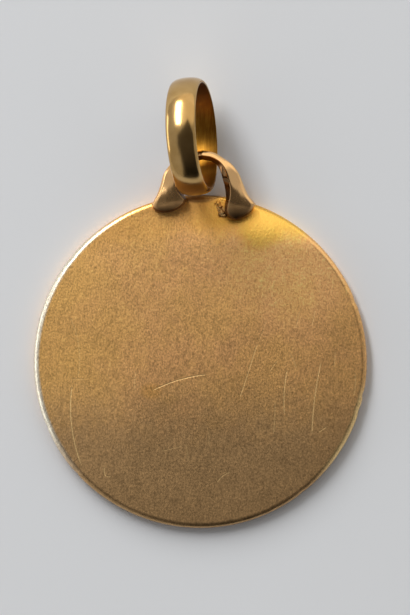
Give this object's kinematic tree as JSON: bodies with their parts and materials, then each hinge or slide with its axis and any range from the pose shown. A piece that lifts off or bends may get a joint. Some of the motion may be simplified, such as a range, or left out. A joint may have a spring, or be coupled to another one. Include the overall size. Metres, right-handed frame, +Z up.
{
  "type": "religious medal pendant",
  "caption": "Round gold medal pendant lying face down: plain reverse, strap eye soldered over its top, and a loose half-round bail ring.",
  "frame": {"origin": "centre of the front's sunk field, which faces the table", "axes": "+Z up out of the plain reverse, +Y from the disc's centre towards the bail, +X to the right"},
  "size_m": [0.022, 0.0296, 0.0077],
  "materials": {
    "medal_gold": "worn satin gold, fine scratches, a little tarnish",
    "bail_gold": "polished gold, light wear"
  },
  "bodies": {
    "root": {"medal": "medal_gold", "bail_ring": "bail_gold"}
  },
  "joints": []
}
